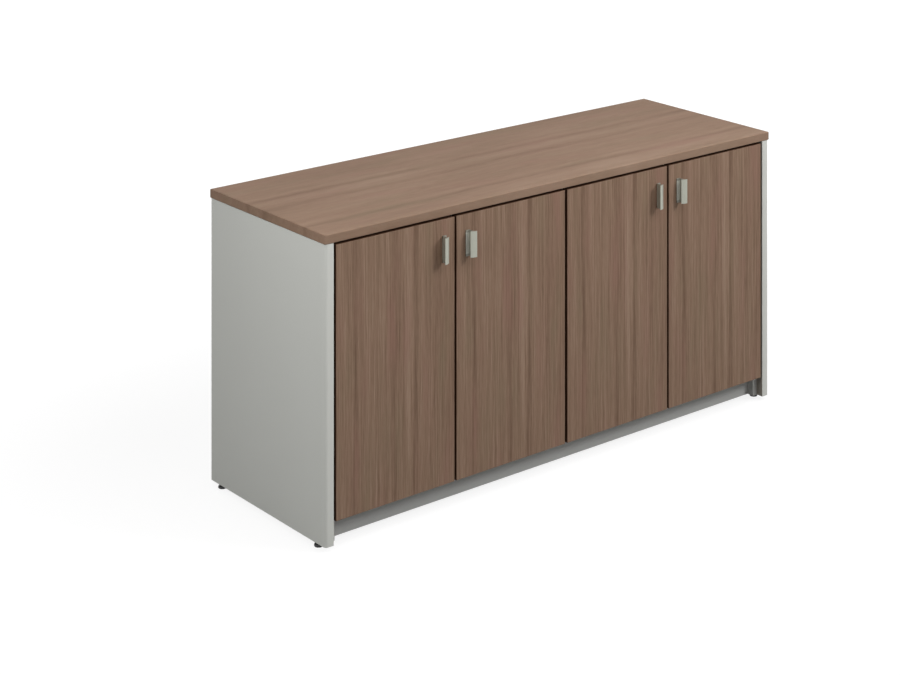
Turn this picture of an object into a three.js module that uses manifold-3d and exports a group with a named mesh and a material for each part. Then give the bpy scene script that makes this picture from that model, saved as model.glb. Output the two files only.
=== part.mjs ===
// Office credenza: a laminate top on grey end panels, a carcass of two bays behind four hinged doors,
// adjustable shelves, a set-back kick plate and levelling glides.
// Millimetres. X runs along the width, the front faces -Y, Z is up and the floor is Z = 0.
import * as THREE from 'three';
import { mergeVertices } from 'three/addons/utils/BufferGeometryUtils.js';
import Module from 'manifold-3d';

const wasm = await Module();
wasm.setup();

// Overall sizes
const overallWidth = 1524;
const overallHeight = 749;
const topDepth = 500;
const topThickness = 23;
const topEdgeRadius = 2.5;
const topSideOverhang = 1.5;
const topBackOverhang = 3;

// Boards of the case
const seatGap = 0.3;
const endPanelThickness = 25;
const endPanelOuterRadius = 8;
const endPanelInnerRadius = 2;
const endPanelBackRadius = 1.5;
const sideThickness = 16;
const partitionThickness = 28;
const deckThickness = 16;
const railThickness = 16;
const railDepth = 80;
const backThickness = 6;
const kickThickness = 16;
const kickSetback = 40;
const floorClearance = 13;

// Doors
const doorThickness = 19;
const doorEdgeRadius = 1.5;
const doorGap = 6;
const centreGap = 8;
const doorTopGap = 5;
const doorBottomHeight = 68;
const doorBackGap = 2;
const deckAboveDoorBottom = 2;

// Pulls: an extruded profile of base flange, stem and tilted grip plate
const pullHeight = 65;
const pullBelowDoorTop = 40;
const pullFromMeetingGap = 42;
const pullBaseWidth = 12.5;
const pullBaseThickness = 2.5;
const pullStemThickness = 2.5;
const pullPlateWidth = 17.6;
const pullPlateThickness = 2.5;
const pullStandOff = 20;
const pullTilt = THREE.MathUtils.degToRad(21);

// Concealed hinges
const hingeFromDoorEnd = 100;
const cupRadius = 17.5;
const cupFromDoorEdge = 3;
const cupDepth = 12.6;
const cupWall = 1.2;
const cupFloor = 1;
const cupRimHeight = 1.6;
const cupFlangeLength = 56;
const cupFlangeWidth = 20;
const cupFlangeOffset = 6;
const cupFlangeCorner = 5;
const cupPinRadius = 1.25;
const cupPinFromCentre = 11.4;
const cupPinDepth = 3.5;
const armWidth = 15;
const armLength = 52;
const armFromCarcassFront = 5;
const armNeckSlope = 8;
const armEyeRadius = 2.8;
const armPinRadius = 1.5;
const plateThickness = 3;
const plateLength = 20;
const plateHeight = 50;
const plateCorner = 6;
const plateFromCarcassFront = 37;
const leverHeight = 6;
const leverThickness = 2.4;
const leverPivotFromCupCentre = 8.5;
const leverPivotDepth = 5;
const leverTip = { across: -17.1, depth: 1.3 };
const leverBend = { across: -12.7, depth: -9.1 };
const hingeClearance = 0.4;

// Shelves and their pins
const shelfThickness = 16;
const shelfSideClearance = 0.5;
const shelfSetback = 30;
const shelfBackClearance = 4;
const pinHoleRadius = 2.7;
const pinHoleDepth = 10.5;
const pinHolePitch = 32;
const pinHoleRows = 9;
const pinHoleFirstHeight = 260;
const pinHoleFromFront = 37;
const pinHoleFromBack = 49;
const shelfPinRow = 4;
const pinShankRadius = 2.4;
const pinShankLength = 9.5;
const pinCollarRadius = 4.5;
const pinCollarLength = 1.2;
const pinPegRadius = 2.5;
const pinPegLength = 8;

// Levelling glides
const glideFromFront = 45;
const glideFromBack = 33;
const glidePadRadius = 11;
const glidePadHeight = 7;
const glidePadRound = 1.5;
const glideNeckRadius = 5;
const glideNutRadius = 7.5;
const glideNutHeight = 4;
const glideStemRadius = 4;
const glideStemLength = 28;
const glideBoreClearance = 0.5;
const glideBehindKick = 20;

// How finely the round shapes are faceted
const edgeSteps = 3;
const arcSteps = 5;
const cupSides = 20;
const glideSides = 16;
const smallSides = 8;
const leverSteps = 8;

// Places worked out from the sizes above; depth is measured from the front face of the doors
const topUnderside = overallHeight - topThickness;
const boardTop = topUnderside - seatGap;
const panelInner = overallWidth / 2 - topSideOverhang - endPanelThickness;
const panelBack = topDepth - topBackOverhang;
const sideOuter = panelInner - seatGap;
const sideInner = sideOuter - sideThickness;
const carcassFront = doorThickness + doorBackGap;
const carcassBack = panelBack - backThickness - seatGap;
const carcassDepth = carcassBack - carcassFront;
const deckUnderside = doorBottomHeight + deckAboveDoorBottom;
const kickTop = deckUnderside - seatGap;
const kickBack = kickSetback + kickThickness;
const railUnderside = boardTop - railThickness;
const partitionFace = partitionThickness / 2;
const bayWidth = sideInner - partitionFace;
const bayCentre = (sideInner + partitionFace) / 2;
// Each half of the front has two doors, a gap beside each of them and half of the centre gap
const doorWidth = (panelInner - centreGap / 2 - 2 * doorGap) / 2;
const doorTop = topUnderside - doorTopGap;
const doorHeight = doorTop - doorBottomHeight;
const doorMiddle = (doorTop + doorBottomHeight) / 2;
const hingeRise = doorHeight / 2 - hingeFromDoorEnd;
const cupCentre = cupFromDoorEdge + cupRadius;
const leverPivot = { across: cupCentre + leverPivotFromCupCentre, depth: doorThickness - leverPivotDepth };
const pinDepths = [carcassFront + pinHoleFromFront, carcassBack - pinHoleFromBack];
const shelfPinHeight = pinHoleFirstHeight + shelfPinRow * pinHolePitch;
const shelfUnderside = shelfPinHeight + pinPegRadius + seatGap;
const glideDepths = [glideFromFront, panelBack - glideFromBack];
const partitionGlideDepths = [kickBack + glideBehindKick, panelBack - glideFromBack];
const pullPlateReach = Math.sin(pullTilt) * (pullPlateWidth - pullPlateThickness) / 2 + pullPlateThickness / 2;
const pullProjection = pullStandOff + pullPlateReach;

// Finishes
const woodGrain = { color: 0x87705f, roughness: 0.55, metalness: 0 };
const greyLaminate = { color: 0xb2afa9, roughness: 0.6, metalness: 0 };
const greyCarcass = { color: 0x9c9a95, roughness: 0.65, metalness: 0 };
const satinAluminium = { color: 0xa9aca4, roughness: 0.38, metalness: 0.85 };
const nickelSteel = { color: 0xb8b8b4, roughness: 0.3, metalness: 0.9 };
const darkPlastic = { color: 0x2f2f30, roughness: 0.55, metalness: 0 };

// Axes for outlines that are not drawn in plan
const acrossBasis = new THREE.Matrix4().makeBasis(
  new THREE.Vector3(0, 1, 0), new THREE.Vector3(0, 0, 1), new THREE.Vector3(1, 0, 0));
const frontBasis = new THREE.Matrix4().makeBasis(
  new THREE.Vector3(1, 0, 0), new THREE.Vector3(0, 0, 1), new THREE.Vector3(0, -1, 0));

const credenza = new THREE.Group();
credenza.position.y = (pullProjection - topDepth) / 2;

function add(parent, name, geometry, finish, x, y, z) {
  const mesh = new THREE.Mesh(geometry, new THREE.MeshStandardMaterial(finish));
  mesh.name = name;
  mesh.position.set(x, y, z);
  parent.add(mesh);
  return mesh;
}

// Solids for cutting and joining
function solid(geometry) {
  const bare = geometry.clone();
  bare.deleteAttribute('normal');
  bare.deleteAttribute('uv');
  const merged = mergeVertices(bare);
  const vertProperties = new Float32Array(merged.attributes.position.array);
  const triVerts = new Uint32Array(merged.index.array);
  return new wasm.Manifold(new wasm.Mesh({ numProp: 3, vertProperties, triVerts }));
}

function geometryOf(manifold) {
  const mesh = manifold.getMesh();
  const geometry = new THREE.BufferGeometry();
  geometry.setAttribute('position', new THREE.BufferAttribute(new Float32Array(mesh.vertProperties), 3));
  geometry.setIndex(new THREE.BufferAttribute(new Uint32Array(mesh.triVerts), 1));
  geometry.computeVertexNormals();
  return geometry;
}

function cut(geometry, tools) {
  let result = solid(geometry);
  for (const tool of tools) {
    result = result.subtract(solid(tool));
  }
  return geometryOf(result);
}

function join(geometry, additions) {
  let result = solid(geometry);
  for (const addition of additions) {
    result = result.add(solid(addition));
  }
  return geometryOf(result);
}

// Outlines and extrusions
function outline(points) {
  const shape = new THREE.Shape();
  points.forEach(([x, y], index) => (index === 0 ? shape.moveTo(x, y) : shape.lineTo(x, y)));
  shape.closePath();
  return shape;
}

function rectangle(width, height) {
  const x = width / 2;
  const y = height / 2;
  return outline([[-x, -y], [x, -y], [x, y], [-x, y]]);
}

function roundedRectangle(width, height, frontLeft, frontRight = frontLeft, backCorners = frontLeft) {
  const x = width / 2;
  const y = height / 2;
  const [left, right, back] = [frontLeft, frontRight, backCorners].map((radius) => Math.min(radius, x));
  const shape = new THREE.Shape();
  shape.moveTo(-x + left, -y);
  shape.absarc(x - right, -y + right, right, -Math.PI / 2, 0, false);
  shape.absarc(x - back, y - back, back, 0, Math.PI / 2, false);
  shape.absarc(-x + back, y - back, back, Math.PI / 2, Math.PI, false);
  shape.absarc(-x + left, -y + left, left, Math.PI, 1.5 * Math.PI, false);
  return shape;
}

function extrudeUp(shape, height) {
  return new THREE.ExtrudeGeometry(shape, { depth: height, bevelEnabled: false, curveSegments: arcSteps });
}

// The outline is drawn as (depth, height) and grows along +X
function extrudeAcross(shape, width) {
  return extrudeUp(shape, width).applyMatrix4(acrossBasis);
}

// The outline is drawn as (across, height) and grows along +Y
function extrudeBack(shape, thickness) {
  return extrudeUp(shape, thickness).applyMatrix4(frontBasis).translate(0, thickness, 0);
}

// A flat board with all its edges eased to a radius, lying from 0 to its thickness
function easedBoard(width, height, thickness, radius) {
  const shape = rectangle(width - 2 * radius, height - 2 * radius);
  const geometry = new THREE.ExtrudeGeometry(shape, {
    depth: thickness - 2 * radius,
    bevelThickness: radius,
    bevelSize: radius,
    bevelSegments: edgeSteps,
  });
  return geometry.translate(0, 0, radius);
}

function board(width, depth, height) {
  return new THREE.BoxGeometry(width, depth, height).translate(0, depth / 2, height / 2);
}

// Rods are centred on their own middle
function rodUpright(radius, length, sides) {
  return new THREE.CylinderGeometry(radius, radius, length, sides).rotateX(Math.PI / 2);
}

function rodAcross(radius, length, sides) {
  return new THREE.CylinderGeometry(radius, radius, length, sides).rotateZ(Math.PI / 2);
}

function rodInDepth(radius, length, sides) {
  return new THREE.CylinderGeometry(radius, radius, length, sides);
}

function revolve(points, sides) {
  return new THREE.LatheGeometry(points.map(([radius, rise]) => new THREE.Vector2(radius, rise)), sides);
}

// Bores for glide stems, open at the lower edge of a panel whose foot is at Z = 0
function glideBores(depths) {
  const length = 2 * (glideStemLength + glideBoreClearance);
  return depths.map((depth) =>
    rodUpright(glideStemRadius + glideBoreClearance, length, smallSides).translate(0, depth, 0));
}

// Blind holes for shelf pins, centred on a face at X = face
function pinHoles(face) {
  const holes = [];
  for (const depth of pinDepths) {
    for (let row = 0; row < pinHoleRows; row += 1) {
      const height = pinHoleFirstHeight + row * pinHolePitch;
      holes.push(rodAcross(pinHoleRadius, 2 * pinHoleDepth, smallSides).translate(face, depth, height));
    }
  }
  return holes;
}

// Top panel
const topBoard = easedBoard(overallWidth, topDepth, topThickness, topEdgeRadius);
add(credenza, 'top_panel', topBoard, woodGrain, 0, topDepth / 2, topUnderside);

// End panels, carcass sides and their shelf-pin holes
for (const [side, sign] of [['left', -1], ['right', 1]]) {
  const outerThenInner = [endPanelOuterRadius, endPanelInnerRadius];
  const frontRadii = sign < 0 ? outerThenInner : outerThenInner.reverse();
  const plan = roundedRectangle(endPanelThickness, panelBack, ...frontRadii, endPanelBackRadius);
  const panel = extrudeUp(plan, boardTop - floorClearance).translate(0, panelBack / 2, 0);
  const panelX = sign * (panelInner + endPanelThickness / 2);
  add(credenza, `end_panel_${side}`, cut(panel, glideBores(glideDepths)), greyLaminate, panelX, 0, floorClearance);

  const liner = board(sideThickness, carcassDepth, boardTop - floorClearance);
  liner.translate(sign * (sideInner + sideThickness / 2), carcassFront, floorClearance);
  add(credenza, `carcass_side_${side}`, cut(liner, pinHoles(sign * sideInner)), greyCarcass, 0, 0, 0);
}

// Centre partition: notched for the top rails and the kick plate, bored on both faces
function centrePartition() {
  const railNotch = railUnderside - seatGap;
  const kickNotch = kickBack + seatGap;
  const profile = outline([
    [carcassFront, deckUnderside],
    [kickNotch, deckUnderside],
    [kickNotch, floorClearance],
    [carcassBack, floorClearance],
    [carcassBack, railNotch],
    [carcassBack - railDepth - seatGap, railNotch],
    [carcassBack - railDepth - seatGap, boardTop],
    [carcassFront + railDepth + seatGap, boardTop],
    [carcassFront + railDepth + seatGap, railNotch],
    [carcassFront, railNotch],
  ]);
  const body = extrudeAcross(profile, partitionThickness).translate(-partitionFace, 0, 0);
  const bores = glideBores(partitionGlideDepths).map((bore) => bore.translate(0, 0, floorClearance));
  return cut(body, [...pinHoles(-partitionFace), ...pinHoles(partitionFace), ...bores]);
}
add(credenza, 'centre_partition', centrePartition(), greyCarcass, 0, 0, 0);

// Rails, kick plate and back
const railWidth = 2 * (sideInner - seatGap);
const rail = board(railWidth, railDepth, railThickness);
add(credenza, 'top_rail_front', rail, greyCarcass, 0, carcassFront, railUnderside);
add(credenza, 'top_rail_rear', rail, greyCarcass, 0, carcassBack - railDepth, railUnderside);
const kick = board(railWidth, kickThickness, kickTop - floorClearance);
add(credenza, 'kick_plate', kick, greyLaminate, 0, kickSetback, floorClearance);
const back = board(2 * sideOuter, backThickness, boardTop - floorClearance);
add(credenza, 'back_panel', back, greyCarcass, 0, panelBack - backThickness, floorClearance);

// Bays: deck, shelf and shelf pins on each side of the partition
function shelfPin() {
  return revolve([
    [0, -pinShankLength],
    [pinShankRadius, -pinShankLength],
    [pinShankRadius, seatGap],
    [pinCollarRadius, seatGap],
    [pinCollarRadius, seatGap + pinCollarLength],
    [pinPegRadius, seatGap + pinCollarLength],
    [pinPegRadius, pinPegLength],
    [0, pinPegLength],
  ], smallSides);
}

for (const [bay, sign] of [['left', -1], ['right', 1]]) {
  const deck = board(bayWidth - 2 * seatGap, carcassDepth, deckThickness);
  add(credenza, `bottom_deck_${bay}`, deck, greyCarcass, sign * bayCentre, carcassFront, deckUnderside);

  const shelfDepth = carcassDepth - shelfSetback - shelfBackClearance;
  const shelfEnd = seatGap + pinCollarLength + shelfSideClearance;
  const shelf = board(bayWidth - 2 * shelfEnd, shelfDepth, shelfThickness);
  add(credenza, `shelf_${bay}`, shelf, greyCarcass, sign * bayCentre, carcassFront + shelfSetback, shelfUnderside);

  for (const [wall, face, inward] of [['outer', sideInner, -1], ['inner', partitionFace, 1]]) {
    pinDepths.forEach((depth, index) => {
      const name = `shelf_pin_${bay}_${wall}_${index === 0 ? 'front' : 'rear'}`;
      const pin = add(credenza, name, shelfPin(), nickelSteel, sign * face, depth, shelfPinHeight);
      pin.rotation.z = -sign * inward * Math.PI / 2;
    });
  }
}

// Doors and their hardware are drawn for a door hinged on its left edge: the origin is on that edge, on the
// door's front plane and at its mid height. The centre gap clears both doors that swing beside it
function doorLeaf() {
  const leaf = easedBoard(doorWidth, doorHeight, doorThickness, doorEdgeRadius).applyMatrix4(frontBasis);
  leaf.translate(doorWidth / 2, doorThickness, 0);
  const bores = [-hingeRise, hingeRise].map((rise) =>
    rodInDepth(cupRadius + seatGap, 2 * (cupDepth + seatGap), cupSides).translate(cupCentre, doorThickness, rise));
  return cut(leaf, bores);
}

// Pull profile in plan: a base flange towards the meeting gap, a stem at its far edge, and a grip plate
// with round ends, tilted to face the gap
function pullProfile() {
  const stem = pullStemThickness / 2;
  const half = pullPlateThickness / 2;
  const arm = (pullPlateWidth - pullPlateThickness) / 2;
  const alongX = Math.cos(pullTilt);
  const alongOut = -Math.sin(pullTilt);
  const backAt = (across) => pullStandOff - (half + across * Math.sin(pullTilt)) / Math.cos(pullTilt);
  const gapEnd = [arm * alongX, -(pullStandOff + arm * alongOut)];
  const farEnd = [-arm * alongX, -(pullStandOff - arm * alongOut)];
  const shape = new THREE.Shape();
  shape.moveTo(-stem, -seatGap);
  shape.lineTo(-stem, -backAt(-stem));
  shape.absarc(farEnd[0], farEnd[1], half, Math.PI / 2 + pullTilt, 1.5 * Math.PI + pullTilt, false);
  shape.absarc(gapEnd[0], gapEnd[1], half, 1.5 * Math.PI + pullTilt, 2.5 * Math.PI + pullTilt, false);
  shape.lineTo(stem, -backAt(stem));
  shape.lineTo(stem, -seatGap - pullBaseThickness);
  shape.lineTo(pullBaseWidth - stem, -seatGap - pullBaseThickness);
  shape.lineTo(pullBaseWidth - stem, -seatGap);
  return shape;
}

function hingeCup() {
  const body = revolve([
    [0, -cupDepth],
    [cupRadius, -cupDepth],
    [cupRadius, cupRimHeight],
    [cupRadius - cupWall, cupRimHeight],
    [cupRadius - cupWall, -cupDepth + cupFloor],
    [0, -cupDepth + cupFloor],
  ], cupSides);
  const flangeShape = roundedRectangle(cupFlangeWidth, cupFlangeLength, cupFlangeCorner);
  const flange = extrudeBack(flangeShape, cupRimHeight - seatGap).translate(cupFlangeOffset, seatGap, 0);
  const mouth = rodInDepth(cupRadius - cupWall / 2, 4 * cupDepth, cupSides);
  const wallReach = Math.sqrt((cupRadius - cupWall) ** 2 - cupPinFromCentre ** 2);
  const pinStart = leverHeight / 2 + hingeClearance;
  const pins = [-1, 1].map((end) =>
    rodUpright(cupPinRadius, wallReach - pinStart, smallSides)
      .translate(-cupPinFromCentre, -cupPinDepth, end * (wallReach + pinStart) / 2));
  return join(body, [cut(flange, [mouth]), ...pins]);
}

// Arm with its mounting plate on a face that lies at X = face
function hingeArm(face) {
  const plateOuter = face + seatGap + plateThickness;
  const armFront = carcassFront + armFromCarcassFront;
  const armTop = leverPivot.across + armEyeRadius;
  const shape = new THREE.Shape();
  shape.moveTo(plateOuter - seatGap, armFront + armNeckSlope);
  shape.lineTo(leverPivot.across - armEyeRadius, armFront);
  shape.absarc(leverPivot.across, leverPivot.depth, armEyeRadius, Math.PI, 2 * Math.PI, false);
  shape.lineTo(armTop, armFront + armLength);
  shape.lineTo(plateOuter - seatGap, armFront + armLength);
  const beam = extrudeUp(shape, armWidth).translate(0, 0, -armWidth / 2);
  const slotSize = 2 * (armEyeRadius + hingeClearance);
  const slot = new THREE.BoxGeometry(2 * slotSize, slotSize, leverHeight + 2 * hingeClearance)
    .translate(leverPivot.across, leverPivot.depth, 0);
  const pin = rodUpright(armPinRadius, armWidth, smallSides).translate(leverPivot.across, leverPivot.depth, 0);
  const plateShape = roundedRectangle(plateLength, plateHeight, plateCorner);
  const plate = extrudeAcross(plateShape, plateThickness)
    .translate(face + seatGap, carcassFront + plateFromCarcassFront, 0);
  return join(cut(beam, [slot]), [pin, plate]);
}

// Lever: a hooked strip from the arm's pin into the cup, with an eye round the pin
function hingeLever() {
  const path = new THREE.QuadraticBezierCurve(
    new THREE.Vector2(0, 0),
    new THREE.Vector2(leverBend.across, leverBend.depth),
    new THREE.Vector2(leverTip.across, leverTip.depth));
  const upper = [];
  const lower = [];
  for (let step = 0; step <= leverSteps; step += 1) {
    const point = path.getPoint(step / leverSteps);
    const along = path.getTangent(step / leverSteps);
    const offset = leverThickness / 2;
    upper.push([point.x - along.y * offset, point.y + along.x * offset]);
    lower.unshift([point.x + along.y * offset, point.y - along.x * offset]);
  }
  const strip = extrudeUp(outline([...upper, ...lower]), leverHeight).translate(0, 0, -leverHeight / 2);
  const eye = rodUpright(armEyeRadius, leverHeight, smallSides);
  const hole = rodUpright(armPinRadius + seatGap, 2 * leverHeight, smallSides);
  return cut(join(strip, [eye]), [hole]);
}

const pullMiddle = doorTop - pullBelowDoorTop - pullHeight / 2;
const doorPlan = [
  ['left_outer', doorGap - panelInner, 1, sideInner],
  ['left_inner', -centreGap / 2, -1, partitionFace],
  ['right_inner', centreGap / 2, 1, partitionFace],
  ['right_outer', panelInner - doorGap, -1, sideInner],
];

const pullAcross = doorWidth + doorGap / 2 - pullFromMeetingGap;
for (const [name, hingeX, towards, mountFace] of doorPlan) {
  const station = new THREE.Group();
  station.position.set(hingeX, 0, doorMiddle);
  station.rotation.y = towards > 0 ? 0 : Math.PI;
  credenza.add(station);

  add(station, `door_${name}`, doorLeaf(), woodGrain, 0, 0, 0);
  const pull = extrudeUp(pullProfile(), pullHeight).translate(0, 0, -pullHeight / 2);
  const pullRise = towards * (pullMiddle - doorMiddle);
  add(station, `handle_${name}`, pull, satinAluminium, pullAcross, 0, pullRise);

  const face = Math.abs(Math.abs(hingeX) - mountFace);
  for (const [place, rise] of [['upper', hingeRise], ['lower', -hingeRise]]) {
    const height = towards * rise;
    add(station, `hinge_arm_${name}_${place}`, hingeArm(face), nickelSteel, 0, 0, height);
    add(station, `hinge_cup_${name}_${place}`, hingeCup(), nickelSteel, cupCentre, doorThickness, height);
    const { across, depth } = leverPivot;
    add(station, `hinge_lever_${name}_${place}`, hingeLever(), nickelSteel, across, depth, height);
  }
}

// Levelling glides: a pad, a neck, a lock nut and a stem screwed into the panel's lower edge
function glide() {
  const neckTop = floorClearance - glideNutHeight - seatGap;
  const nutTop = floorClearance - seatGap;
  return revolve([
    [0, 0],
    [glidePadRadius - glidePadRound, 0],
    [glidePadRadius, glidePadRound],
    [glidePadRadius, glidePadHeight - glidePadRound],
    [glidePadRadius - glidePadRound, glidePadHeight],
    [glideNeckRadius, glidePadHeight],
    [glideNeckRadius, neckTop],
    [glideNutRadius, neckTop],
    [glideNutRadius, nutTop],
    [glideStemRadius, nutTop],
    [glideStemRadius, nutTop + glideStemLength],
    [0, nutTop + glideStemLength],
  ], glideSides).rotateX(Math.PI / 2);
}

const endGlideX = panelInner + endPanelThickness / 2;
const glidePlan = [
  ['left', -endGlideX, glideDepths],
  ['centre', 0, partitionGlideDepths],
  ['right', endGlideX, glideDepths],
];
for (const [place, x, depths] of glidePlan) {
  add(credenza, `glide_${place}_front`, glide(), darkPlastic, x, depths[0], 0);
  add(credenza, `glide_${place}_rear`, glide(), darkPlastic, x, depths[1], 0);
}

export default credenza;
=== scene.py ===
# Office credenza: finishes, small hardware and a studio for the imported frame. Metres, +Z up, front at -Y.
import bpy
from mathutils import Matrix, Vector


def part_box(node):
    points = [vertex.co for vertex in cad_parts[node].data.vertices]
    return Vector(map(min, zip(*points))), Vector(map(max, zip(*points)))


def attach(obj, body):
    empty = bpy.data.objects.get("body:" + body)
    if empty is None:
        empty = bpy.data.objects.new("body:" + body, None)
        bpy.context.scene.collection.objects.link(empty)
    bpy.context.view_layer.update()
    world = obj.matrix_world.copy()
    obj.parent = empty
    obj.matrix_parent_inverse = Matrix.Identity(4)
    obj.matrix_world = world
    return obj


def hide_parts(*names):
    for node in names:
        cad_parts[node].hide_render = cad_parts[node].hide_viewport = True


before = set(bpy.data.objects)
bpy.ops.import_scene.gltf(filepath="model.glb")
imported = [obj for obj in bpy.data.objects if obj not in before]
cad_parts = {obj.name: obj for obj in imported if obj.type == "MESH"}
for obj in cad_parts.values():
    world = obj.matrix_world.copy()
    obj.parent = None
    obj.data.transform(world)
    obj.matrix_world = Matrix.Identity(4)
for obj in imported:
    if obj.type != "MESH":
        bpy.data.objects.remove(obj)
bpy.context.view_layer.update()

import math

import bmesh
import bpy
from mathutils import Matrix, Vector

bl_info = {
    "name": "Office credenza",
    "version": (1, 0, 0),
    "blender": (4, 5, 0),
    "location": "3D View > Sidebar > Credenza",
    "description": "Dresses the credenza frame with finishes, hardware and a studio",
    "category": "Object",
}

MM = 0.001
SIDES = ("left", "right")
ENDS = ("front", "rear")
HINGE_PLACES = ("upper", "lower")
GLIDES = tuple(f"{place}_{end}" for place in ("left", "centre", "right") for end in ENDS)

# The doors, each with the direction along X from its hinges to its free edge
DOORS = {"left_outer": 1, "left_inner": -1, "right_inner": 1, "right_outer": -1}

# Width of the boards' arrises, and the angle that tells an arris from the facets of a rounded edge
BOARD_ARRIS = 0.4 * MM
ROUNDED_EDGE_ANGLE = math.radians(60)

TO_THE_BACK = (0, 1, 0)
WHITE = (1, 1, 1, 1)


def srgb(red, green, blue):
    """A colour as it shows on a screen, 0 to 255, in the linear values that a shader takes."""
    values = []
    for level in (red, green, blue):
        share = level / 255
        values.append(share / 12.92 if share <= 0.04045 else ((share + 0.055) / 1.055) ** 2.4)
    return tuple(values)


# Properties a user would change

def colour_property(name, description, levels):
    """A colour, with its default as it shows on a screen."""
    return bpy.props.FloatVectorProperty(
        name=name, description=description, subtype="COLOR", size=3, min=0, max=1, default=srgb(*levels))


def length_property(name, description, default):
    """A small length in metres."""
    return bpy.props.FloatProperty(
        name=name, description=description, unit="LENGTH", precision=5, default=default)


class CredenzaFinish(bpy.types.PropertyGroup):
    """Colours of the credenza's finishes."""

    wood: colour_property("Wood", "Main brown of the wood print", (144, 118, 99))
    wood_light: colour_property("Wood light", "Pale streaks of the wood print", (172, 147, 128))
    wood_dark: colour_property("Wood dark", "Dark streaks of the wood print", (104, 80, 65))
    # Painted shade: a dark brown on the doors' edges, standing in for the shade in the gaps between the doors
    door_edge_shade: colour_property("Door edge", "Dark banding round the doors' edges", (70, 46, 32))
    laminate: colour_property("Grey laminate", "End panels", (216, 217, 211))
    # Painted shade: a colour darker than the laminate on the end panels' inner faces, standing in for the
    # shade in the gaps beside the doors
    painted_shade_sheet: colour_property("Backer sheet", "Inner faces of the end panels", (142, 135, 126))
    # Painted shade: a grey darker than the end panels' laminate, standing in for the shade under the doors
    kick: colour_property("Kick plate", "Darker grey of the kick plate", (196, 196, 193))
    carcass: colour_property("Grey carcass", "Boards inside the case", (188, 188, 184))
    aluminium: colour_property("Aluminium", "Satin pulls", (180, 181, 168))
    nickel: colour_property("Nickel", "Hinges, shelf pins and screws", (190, 189, 184))
    plastic: colour_property("Dark plastic", "Glide pads and door bumpers", (46, 46, 48))


class CredenzaHardware(bpy.types.PropertyGroup):
    """Sizes of the small hardware."""

    screw_radius: length_property("Screw head radius", "Pan heads of the hinge and back screws", 3.2 * MM)
    screw_rise: length_property("Screw head height", "How far a pan head stands up", 1.3 * MM)
    bumper_radius: length_property("Bumper radius", "Soft stops behind the doors", 4.5 * MM)
    bumper_rise: length_property("Bumper height", "How far a bumper stands off the door", 1.3 * MM)
    cap_radius: length_property("Cap radius", "Screw caps on the carcass sides", 6.5 * MM)
    band_thickness: length_property("Edge band", "Thickness of the banding on the board fronts", 0.5 * MM)
    thread_pitch: length_property("Thread pitch", "Thread on the glide stems", 1.25 * MM)
    grip_crown: length_property(
        "Grip crown", "How far the edges of a pull's grip fall back from its middle", 1.3 * MM)


class CredenzaStudio(bpy.types.PropertyGroup):
    """Camera and light."""

    camera_place: bpy.props.FloatVectorProperty(
        name="Camera place", description="Where the camera stands", subtype="XYZ", size=3,
        unit="LENGTH", default=(-3.65523, -4.29555, 2.26216))
    heading: bpy.props.FloatProperty(
        name="Heading", description="Turn of the camera from +Y towards +X",
        default=math.radians(38.87123), unit="ROTATION")
    drop: bpy.props.FloatProperty(
        name="Drop", description="Angle that the camera's axis drops below the horizon",
        default=math.radians(19.4092), unit="ROTATION")
    lens: bpy.props.FloatProperty(
        name="Lens", description="Focal length in millimetres", default=89.815)
    key_power: bpy.props.FloatProperty(
        name="Key lamp", description="Power of the lamp high at the front right, in watts", default=184.0)
    overhead_power: bpy.props.FloatProperty(
        name="Overhead lamp", description="Power of the wide lamp above, in watts", default=27.0)
    fill_power: bpy.props.FloatProperty(
        name="Fill lamp", description="Power of the lamp at the left, in watts", default=12.4)
    rear_power: bpy.props.FloatProperty(
        name="Rear lamp", description="Power of the lamp behind, in watts", default=30.0)
    sky_strength: bpy.props.FloatProperty(
        name="Sky light", description="Strength of the soft light above the horizon", default=0.26)


# Shader wires

class Wire:
    """One output of a shader node; sums of wires and numbers add Math nodes to the same tree."""

    def __init__(self, tree, socket=None):
        self.tree = tree
        self.socket = socket

    def node(self, kind, settings=None, sockets=None, output=0):
        """Adds a node of a kind: its settings are set first, then the values or links of its sockets."""
        made = self.tree.nodes.new(kind)
        for key, value in (settings or {}).items():
            setattr(made, key, value)
        for key, value in (sockets or {}).items():
            if isinstance(value, Wire):
                self.tree.links.new(value.socket, made.inputs[key])
            else:
                made.inputs[key].default_value = value
        return Wire(self.tree, made.outputs[output])

    def math(self, operation, first, second=0.0):
        return self.node("ShaderNodeMath", {"operation": operation}, {0: first, 1: second})

    def __add__(self, other):
        return self.math("ADD", self, other)

    def __radd__(self, other):
        return self.math("ADD", other, self)

    def __sub__(self, other):
        return self.math("SUBTRACT", self, other)

    def __rsub__(self, other):
        return self.math("SUBTRACT", other, self)

    def __mul__(self, other):
        return self.math("MULTIPLY", self, other)

    def __rmul__(self, other):
        return self.math("MULTIPLY", other, self)

    def __truediv__(self, other):
        return self.math("DIVIDE", self, other)

    def __pow__(self, other):
        return self.math("POWER", self, other)

    def __abs__(self):
        return self.math("ABSOLUTE", self)

    def most(self, other):
        return self.math("MAXIMUM", self, other)

    def ease(self, start, end, run="SMOOTHSTEP"):
        """0 at start and 1 at end, with a smooth or LINEAR run between."""
        sockets = {"Value": self, "From Min": start, "From Max": end}
        return self.node("ShaderNodeMapRange", {"interpolation_type": run}, sockets)

    def mix(self, first, second):
        """Colour mixed from first to second, with this wire as the factor."""
        sockets = {0: self, 6: first, 7: second}
        return self.node("ShaderNodeMix", {"data_type": "RGBA"}, sockets, 2)

    def axes(self):
        """The three parts of a vector wire."""
        parts = self.node("ShaderNodeSeparateXYZ", None, {0: self}).socket.node
        return [Wire(self.tree, socket) for socket in parts.outputs]


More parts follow.
